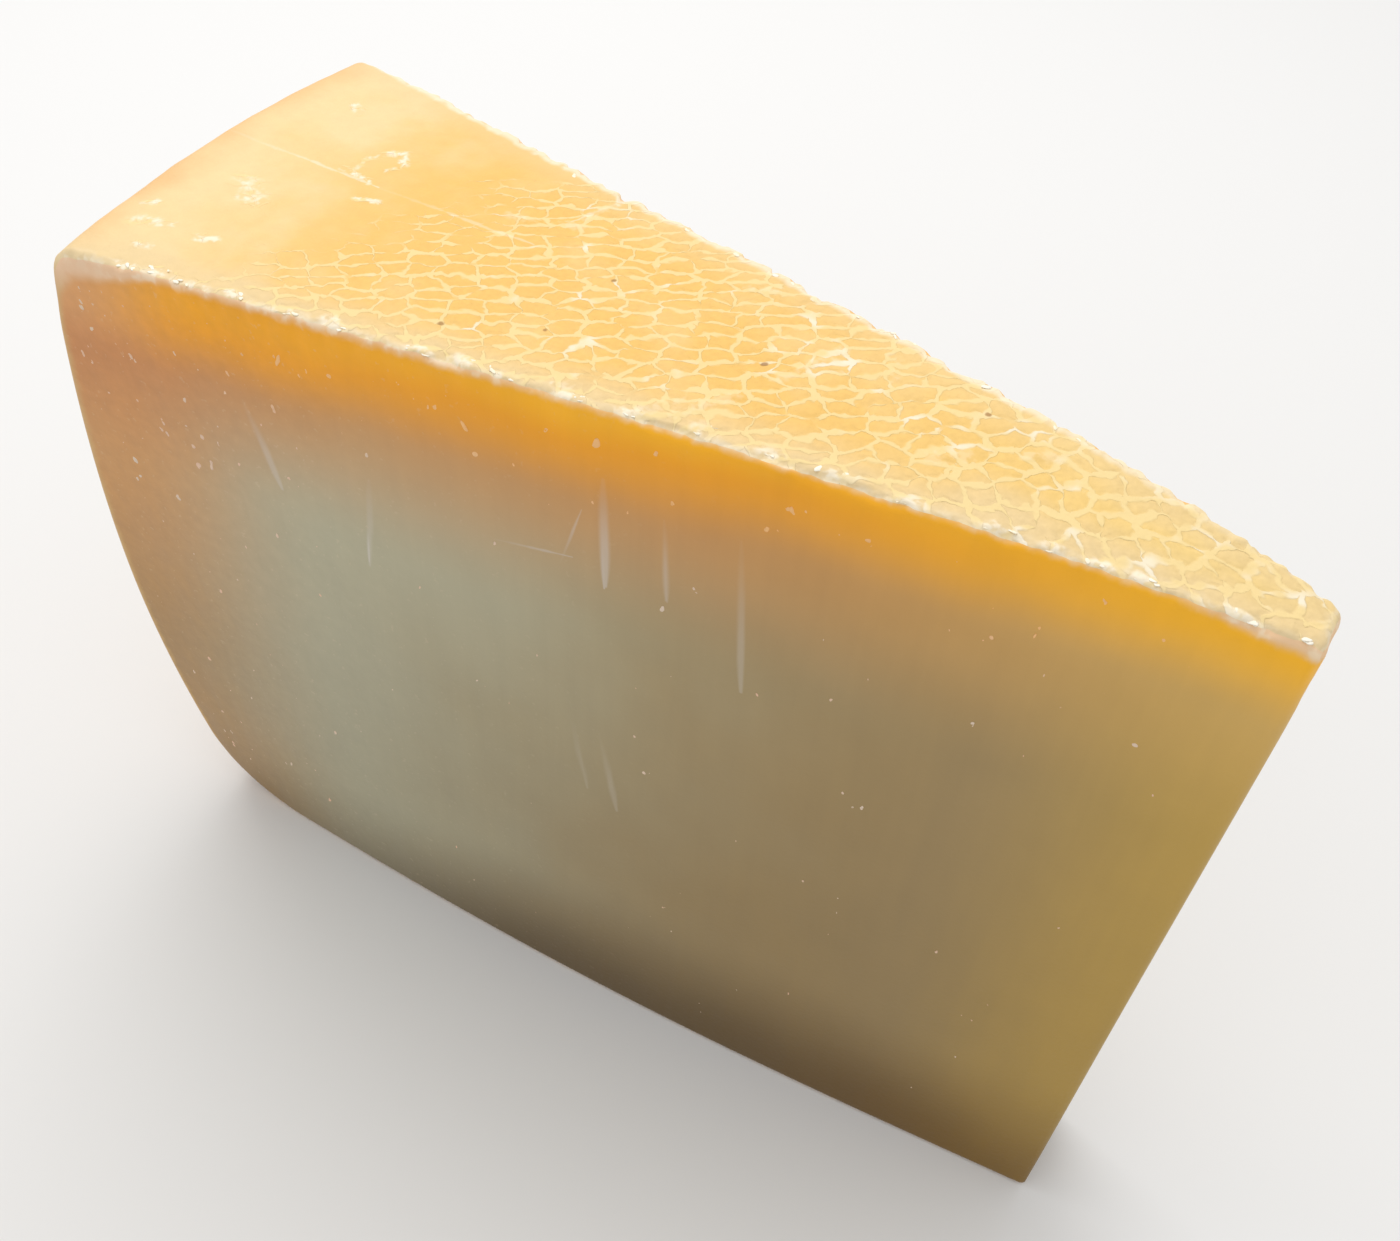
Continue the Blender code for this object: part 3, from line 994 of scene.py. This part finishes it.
streak = cloud(vector("MULTIPLY", place, STREAK_FORM), STREAK_SIZE, 9, 2.0)
lumps, grit, crumbly = placed(grain_tree, place, mottle)
lumpy = times(swing(lumps, 0.18), falling(inside, 8.0, 60.0))
paste = scaled(paste, plus(swing(streak, 0.08), swing(mottle, 0.12), lumpy, 1.0))
grain = times(rise(grit, 0.66, 0.74), falling(inside, 20.0, 90.0))
paste = mixed(times(grain, 0.16), paste, GRAIN_PALE)
fray = swing(streak, 1.6)
knife = strokes(gathered(along_x, along_z, 0.0), fray, NEAR_CUT_STROKES)
knife = times(knife, falling(along_y, -14.0, -10.0))
paste = mixed(times(knife, 0.7), paste, STROKE_PALE)
print("paste: streaks, mottling, grains and the knife's strokes added")

# %% [markdown]
# The rind shows on the cuts as a thin pale crust. Its inner border is soft and uneven, and
# dry white places alternate with beige ones, so one noise gives both. It is thickest at the
# heel's upper corner and at the thin end, where the wheel dried most, and thin between.

# %% Lay the crust over the paste
RIND_DRY = (0.765, 0.580, 0.305)
CRUST_BEIGE = (0.860, 0.610, 0.410)
CRUST_TAN = (0.660, 0.440, 0.200)
CRUST_WHITE = (0.920, 0.830, 0.660)
TOP_REACH = (0.3, 3.0)  # mm below the upper rind, as the next two
CORNER_DOWN = (2.0, 7.0)
TIP_DOWN = (3.0, 9.0)
CORNER_IN = (3.0, 15.0)  # mm in from the heel, as the next three
HEEL_CRUST = (2.0, 16.0)
LEFT_CRUST = (25.0, 90.0)
TIP_CRUST = (112.0, 126.0)
CRUST_SINK = -0.7
CRUST_FRAY = 1.1

on_top = falling(below, *TOP_REACH)
at_corner = times(falling(below, *CORNER_DOWN), falling(inside, *CORNER_IN))
at_tip = times(rise(inside, *TIP_CRUST, 0.0, 1.6), falling(below, *TIP_DOWN))
at_ends = plus(falling(inside, *HEEL_CRUST, 0.8), at_tip, falling(inside, *LEFT_CRUST, 0.7))
crust_depth = plus(times(on_top, 0.5), times(at_corner, 2.0), at_ends, CRUST_SINK)
crust_edge = plus(edge, swing(lumps, CRUST_FRAY), crust_depth)
crust = rise(times(crust_edge, calc("MULTIPLY_ADD", at_corner, -0.5, 1.0)), -1.0, 0.5)
white = times(crumbly, calc("MULTIPLY_ADD", at_corner, -0.45, 0.65))
dry_crust = mixed(plus(on_top, at_corner), CRUST_TAN, CRUST_BEIGE)
crust_colour = mixed(times(white, on_top), dry_crust, CRUST_WHITE)
coat(paste_material, Base_Color=mixed(times(crust, 0.85), paste, crust_colour))
print("crust laid over the paste")

# %% [markdown]
# ## Roughness and grain of the paste
# Fresh paste is a little waxy and the crust is dull like flour, so the roughness follows the
# crust. The fine grain that is too small for the mesh goes in as bump.

# %% Set the paste's roughness and bump
WAXY = 0.42
FLOURY = 0.78
BUMP_STRENGTH = 0.8
BUMP_DISTANCE = 0.0002


def bumped(height):
    """This height as a bump, for a shader's Normal."""
    traits = {"Strength": BUMP_STRENGTH, "Distance": BUMP_DISTANCE, "Height": height}
    return built("ShaderNodeBump", **traits).outputs["Normal"]


waxy = plus(WAXY, swing(mottle, 0.15), swing(streak, 0.15))
grainy = plus(times(grit, 0.16), times(streak, 0.30), times(crust, 0.3))
dull = between(times(crust, 0.7), waxy, FLOURY)
coat(paste_material, Roughness=dull, Normal=bumped(grainy))
print("paste:", len(tree.nodes), "nodes")

# %% [markdown]
# ## Rind
# The upper rind is amber with cloudy paler places, pale and nearly smooth towards the heel
# with an orange border along the rim, and duller beside the cuts, where it dried. The veins
# are cream, and here and there white. The rind of the heel has no net: it is tan, with brown
# patches where it was handled. Scars, white mould, a few dark specks and the white of the
# broken edges come last.

# %% Mix the rind's colour
RIND_AMBER = (0.825, 0.502, 0.130)
RIND_PALE = (0.845, 0.652, 0.355)
RIND_BORDER = (0.785, 0.462, 0.190)
RIND_TIP = (0.815, 0.610, 0.235)
RIND_HEEL = (0.660, 0.410, 0.180)
RIND_BROWN = (0.400, 0.215, 0.085)
VEIN_CREAM = (0.860, 0.665, 0.320)
VEIN_WHITE = (0.885, 0.815, 0.660)
SPECK_BROWN = (0.330, 0.140, 0.030)
PALE_HEEL = (6.0, 30.0)  # mm in from the heel
BORDER = (0.5, 7.5)
RIND_THIN_END = (70.0, 125.0)
DRY_BAND = (0.5, 7.0)  # mm in from the cuts
HEEL_TOP = (0.4, 6.0)  # mm below the upper rind
HEEL_SIDE = (1.0, 8.0)

tree = rind_material.node_tree
place, (below, inside, _), edge, (_, clouds, mottle) = measures(tree)
along_x, along_y, _ = parts(place)
width, shown, whiter = parts(read(tree, "net_traits")["Vector"])
lumps, grit, crumbly = placed(grain_tree, place, mottle)
dust = read(tree, "dust")["Fac"]
width = plus(width, times(dust, 0.22))
veins, domes = net(read(tree, "net_cells")["Vector"], width, shown, swing(lumps, 0.5))
rind = mixed(times(rise(clouds, 0.45, 0.72), 0.3), RIND_AMBER, RIND_PALE)
rind = mixed(times(rise(inside, *RIND_THIN_END), 0.8), rind, RIND_TIP)
pale_heel = falling(plus(inside, swing(clouds, 34.0)), *PALE_HEEL)
rind = mixed(times(pale_heel, 0.85), rind, RIND_PALE)
border = falling(plus(inside, swing(clouds, 8.0)), *BORDER)
rind = mixed(times(border, 0.82), rind, RIND_BORDER)
dry = falling(plus(edge, swing(clouds, 8.0)), *DRY_BAND)
near_side = times(falling(along_y, -6.0, 6.0), 0.45)
rind = mixed(times(dry, plus(0.45, near_side)), rind, RIND_DRY)
rind = mixed(rise(below, *HEEL_TOP), rind, RIND_HEEL)
side = rise(below, *HEEL_SIDE)
worn = plus(times(clouds, 0.6), times(mottle, 0.3), times(lumps, 0.1))
rind = mixed(times(side, rise(worn, 0.38, 0.62), 0.6), rind, RIND_BROWN)
blotch = plus(swing(lumps, 0.10), times(swing(grit, 0.16), plus(shown, side)))
rind = scaled(rind, plus(1.0, blotch))
whiter = rise(plus(whiter, times(inside, 0.0013)), 0.64, 0.84)
rind = mixed(times(veins, 0.9), rind, mixed(whiter, VEIN_CREAM, VEIN_WHITE))
print("rind: amber, heel end, border, dry edges and veins mixed")

# %% Mark the rind and whiten its broken edge
RIM_BAND = (0.1, 1.5)  # mm in from the cuts
FAR_RIM_BAND = (0.8, 1.7)
RIND_ROUGHNESS = 0.56
RIND_FRAY = 2.8

top_spot = gathered(along_x, along_y, 0.0)
on_top = falling(below, *TOP_REACH)
fray = swing(lumps, RIND_FRAY)
scars = times(strokes(top_spot, fray, RIND_STROKES), on_top)
patchy = rise(plus(times(lumps, 0.6), times(grit, 0.4)), 0.34, 0.66)
mould = rise(times(dust, plus(0.35, times(patchy, 1.15))), 0.28, 0.95)
mould = times(mould, rise(times(edge, shown), 0.8, 2.2, 1.0, 0.25))
scars = calc("MAXIMUM", scars, mould)
rind = mixed(times(scars, 0.86), rind, CRUST_WHITE)
specks = times(spots(top_spot, fray, RIND_SPECKS, SPECK_RADIUS), on_top)
rind = mixed(times(specks, 0.75), rind, SPECK_BROWN)
rim = times(falling(plus(edge, swing(lumps, 2.6)), *RIM_BAND), on_top)
rim = times(rim, plus(0.20, times(crumbly, 0.55)))
far_rim = times(falling(edge, *FAR_RIM_BAND), rise(along_y, 0.0, 6.0), on_top)
rim = calc("MAXIMUM", rim, times(far_rim, rise(lumps, 0.25, 0.5, 0.25, 0.8)))
rind = mixed(times(rim, 0.85), rind, CRUST_WHITE)
dull = plus(RIND_ROUGHNESS, times(calc("MAXIMUM", veins, rim), 0.22))
rough = plus(times(grit, 0.45), times(side, plus(times(lumps, 1.6), times(grit, 0.5))))
rough = plus(times(veins, 0.35), times(domes, 0.15), rough)
coat(rind_material, Base_Color=rind, Roughness=dull, Normal=bumped(rough))
print("rind:", len(tree.nodes), "nodes")

# %% [markdown]
# ## Crumbs
# Where the knife broke through the dry rind, white flakes stayed on the crust, on the same
# dry places that the material whitens. Each starts as a small icosphere, squeezed flat,
# dented, and set half into the surface. A flake is made in a bmesh of its own and then added
# to the others, because an operator looks through the whole bmesh each time it is called.

# %% Strew crumbs along the crust
CRUMB_SEED = 41
CRUMBS_ON_MARK = 3
CRUMB_SIZE = (0.3, 0.75)  # mm
FAR_CRUMBS = 14
FAR_CRUMB_SIZE = (0.3, 0.6)
FAR_CRUMB_SHARES = (0.25, 0.95)  # of the way to the tip
FAR_CRUMB_IN = (0.4, 1.4)  # mm in from the far cut
CRUMB_IN = 0.35  # mm in from the near cut, at least
LAST_CRUMB = 0.985  # the share of the way to the tip
FINENESS = 2  # subdivisions of the icospheres
DENT = 0.30


def add_lump(shape, centre, size, form):
    """Adds one icosphere of this size and form to the shape, dented by a share of its size."""
    lump = bmesh.new()
    bmesh.ops.create_icosphere(lump, subdivisions=FINENESS, radius=size / 2, matrix=form)
    for vert in lump.verts:
        push = DENT * size * noise.noise(vert.co / (0.55 * size))
        vert.co += (vert.co - centre).normalized() * push
    bmesh.ops.recalc_face_normals(lump, faces=lump.faces)
    mesh = bpy.data.meshes.new("lump")
    lump.to_mesh(mesh)
    lump.free()
    shape.from_mesh(mesh)
    bpy.data.meshes.remove(mesh)


def crumb(shape, centre, size, chance):
    """Adds one flat flake to the shape."""
    turn = Matrix.Rotation(chance.gauss(-0.17, 0.5), 4, "Z")
    lean = Matrix.Rotation(chance.uniform(-0.15, 0.15), 4, "X")
    sides = (chance.uniform(1.0, 2.0), chance.uniform(0.6, 1.0), chance.uniform(0.14, 0.22), 1)
    form = Matrix.Translation(centre) @ turn @ lean @ Matrix.Diagonal(sides)
    add_lump(shape, centre, size, form)


def on_crust(along, over, far=False):
    """A point of the upper rind, this far along and this far from the near or far cut."""
    across = over / rind_width(along)
    return worn_point(along, 1 - across if far else across, 1.0)


def crumbs():
    """All crumbs as one shape."""
    chance = random.Random(CRUMB_SEED)
    shape = bmesh.new()
    for middle, offset, length, reach in EDGE_DUST:
        for _ in range(CRUMBS_ON_MARK):
            from_heel = middle + 0.7 * length * chance.uniform(-1, 1)
            along = min(LAST_CRUMB, from_heel * MM / LENGTH)
            over = max(CRUMB_IN, offset + 0.4 * reach * chance.uniform(-1, 1)) * MM
            crumb(shape, on_crust(along, over), MM * chance.uniform(*CRUMB_SIZE), chance)
    for _ in range(FAR_CRUMBS):
        along = chance.uniform(*FAR_CRUMB_SHARES)
        over = chance.uniform(*FAR_CRUMB_IN) * MM
        size = MM * chance.uniform(*FAR_CRUMB_SIZE)
        crumb(shape, on_crust(along, over, far=True), size, chance)
    return shape


crumb_material = new_material("dry_crumbs")
rind_crumbs = finished(crumbs(), "rind_crumbs", crumb_material)
rind_crumbs.data.shade_smooth()
print("crumbs:", len(rind_crumbs.data.polygons), "faces")

# %% [markdown]
# ## Crystals
# Long-ripened cheese holds small white crystals. In the cuts they show as pale flecks, many
# behind the heel and under the rind and few in the core. Each is a flat lens that the knife
# drew out a little upwards, sunk into the cut so that only its face stands out. The largest
# of the near cut have places of their own, and chance strews the others.

# %% Set crystals into the cuts
CRYSTAL_SEED = 7
CRYSTALS = {"near": 280, "far": 330, "tip": 12}
CRYSTAL_SIZE = (0.24, 0.69, 3)  # mm: least, most, and the power that keeps most of them small
LARGE_CRYSTAL = (0.6, 0.95)
CRYSTAL_DEPTH = 0.03  # mm, by which a crystal's middle lies under the cut
CRYSTAL_LEVELS = (0.96, 0.05, 1.7)  # from rind to base, most of them near the rind
CRYSTAL_REACH = (0.03, 0.96, 2.3)  # from heel to tip, most of them near the heel
TIP_SHARES = (0.15, 0.85)  # of the way across
NEAR_CRYSTALS = (  # mm along and up, in the frame
    (-44, 84), (-49, 78), (-45, 80), (-45, 77), (-45, 74), (-43, 75), (-37, 90), (-38, 87),
    (-21, 85), (-50, 67), (-32, 87), (-50, 88), (-30, 94), (-24, 94), (-57, 86), (-55, 71),
    (-9, 93), (-8, 90), (5, 96), (11, 97), (44, 89), (52, 97),
)


def near_cut_shares(x, z):
    """The shares along and up of a point of the near cut that is given in the frame, in mm."""
    level = z * MM / HEIGHT
    heel = WHEEL_RADIUS + heel_bulge(level)
    tip = TIP_RADIUS + TIP_LEAN * (1 - level)
    radius = (AXIS_PLACE.x - x * MM) / math.cos(OPENING / 2)
    return (heel - radius) / (heel - tip), level


def add_crystal(shape, along, across, level, out, size, chance):
    """Adds one lens to the shape, sunk into the cut that faces this way."""
    form = Matrix.Identity(4)
    form.col[0] = (*(out.cross(UP) * chance.uniform(0.5, 0.9)), 0)
    form.col[1] = (*(out * 0.2), 0)
    form.col[2] = (*(UP * chance.uniform(0.8, 2.0)), 0)
    centre = worn_point(along, across, level) - out * CRYSTAL_DEPTH * MM
    spin = Matrix.Rotation(chance.uniform(-0.5, 0.5), 4, out)
    add_lump(shape, centre, size, Matrix.Translation(centre) @ spin @ form)


def strewn(chance, first, last, power):
    """A number by chance between two others, nearer the first the higher the power is."""
    return first + (last - first) * chance.random() ** power


def crystals():
    """All crystals as one shape: the large ones of the near cut, and many small ones."""
    chance = random.Random(CRYSTAL_SEED)
    shape = bmesh.new()
    for x, z in NEAR_CRYSTALS:
        along, level = near_cut_shares(x, z)
        size = MM * chance.uniform(*LARGE_CRYSTAL)
        add_crystal(shape, along, 0.0, level, NEAR_OUT, size, chance)
    for side, count in CRYSTALS.items():
        for _ in range(count):
            level = strewn(chance, *CRYSTAL_LEVELS)
            along, across, out = strewn(chance, *CRYSTAL_REACH), 1.0, FAR_OUT
            if side == "tip":
                along, across, out = 1.0, chance.uniform(*TIP_SHARES), Vector((1, 0, 0))
            elif side == "near":
                across, out = 0.0, NEAR_OUT
            size = MM * strewn(chance, *CRYSTAL_SIZE)
            add_crystal(shape, along, across, level, out, size, chance)
    return shape


crystal_material = new_material("crystals")
cut_crystals = finished(crystals(), "crystals", crystal_material)
cut_crystals.data.shade_smooth()
print("crystals:", len(cut_crystals.data.polygons), "faces")

# %% [markdown]
# Crumbs are dry and white. A crystal is clear, so it takes the colour of the paste about it,
# only paler: orange in the ripe layer and greyish in the core.

# %% Give crumbs and crystals their finish
CRUMB_CREAM = (0.930, 0.840, 0.650)
CRUMB_WHITE = (0.950, 0.900, 0.780)
CRUMB_CLOUD = 1.6  # mm, the size of the clouds in which the colour wavers
CRYSTAL_CLOUD = 6.0
CRYSTAL_RIPE = (0.900, 0.500, 0.190)
CRYSTAL_PALE = (0.760, 0.490, 0.330)
CRYSTAL_COOL = (0.720, 0.580, 0.450)
CRUMB_ROUGHNESS = 0.78
CRYSTAL_ROUGHNESS = 0.45
RIPE_LEVELS = (84.0, 94.0)  # mm up, from where to where crystals turn orange
RIPE_START = (-50.0, -28.0)  # mm along, in the frame


def dusty_group():
    """A dull finish that wavers between two colours, rougher where it is the second one."""
    tree, way_in, way_out = group_tree(
        "dusty",
        (("Place", "Vector"), ("First", "Color"), ("Second", "Color"), ("Roughness", "Float")),
        (("Colour", "Color"), ("Roughness", "Float")),
    )
    place, first, second, rough = way_in.outputs[:4]
    share = rise(cloud(place, 1.0, 1, 1.0), 0.38, 0.62)
    feed(way_out.inputs["Colour"], mixed(share, first, second))
    rougher = calc("MULTIPLY_ADD", share, 0.12, rough)
    feed(way_out.inputs["Roughness"], rougher)
    return tree


def dusted(material, place, first, second, rough):
    """Gives a material the dusty finish."""
    shade, dull = placed(dusty_tree, place, first, second, rough)
    coat(material, Base_Color=shade, Roughness=dull)


dusty_tree = dusty_group()
place = scaled(place_in(crumb_material.node_tree), 1 / CRUMB_CLOUD)
dusted(crumb_material, place, CRUMB_CREAM, CRUMB_WHITE, CRUMB_ROUGHNESS)
place = place_in(crystal_material.node_tree)
along_x, _, along_z = parts(place)
ripe = times(rise(along_z, *RIPE_LEVELS), rise(along_x, *RIPE_START, 0.2, 1.0))
pale = mixed(ripe, CRYSTAL_PALE, CRYSTAL_RIPE)
cool = mixed(ripe, CRYSTAL_COOL, CRYSTAL_RIPE)
place = scaled(place, 1 / CRYSTAL_CLOUD)
dusted(crystal_material, place, pale, cool, CRYSTAL_ROUGHNESS)
print("crumbs and crystals finished")

# %% Join the pieces to the frame and hide the imported solid
for piece in (cheese, rind_crumbs, cut_crystals):
    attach(piece, "root")
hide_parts("cheese_wedge")
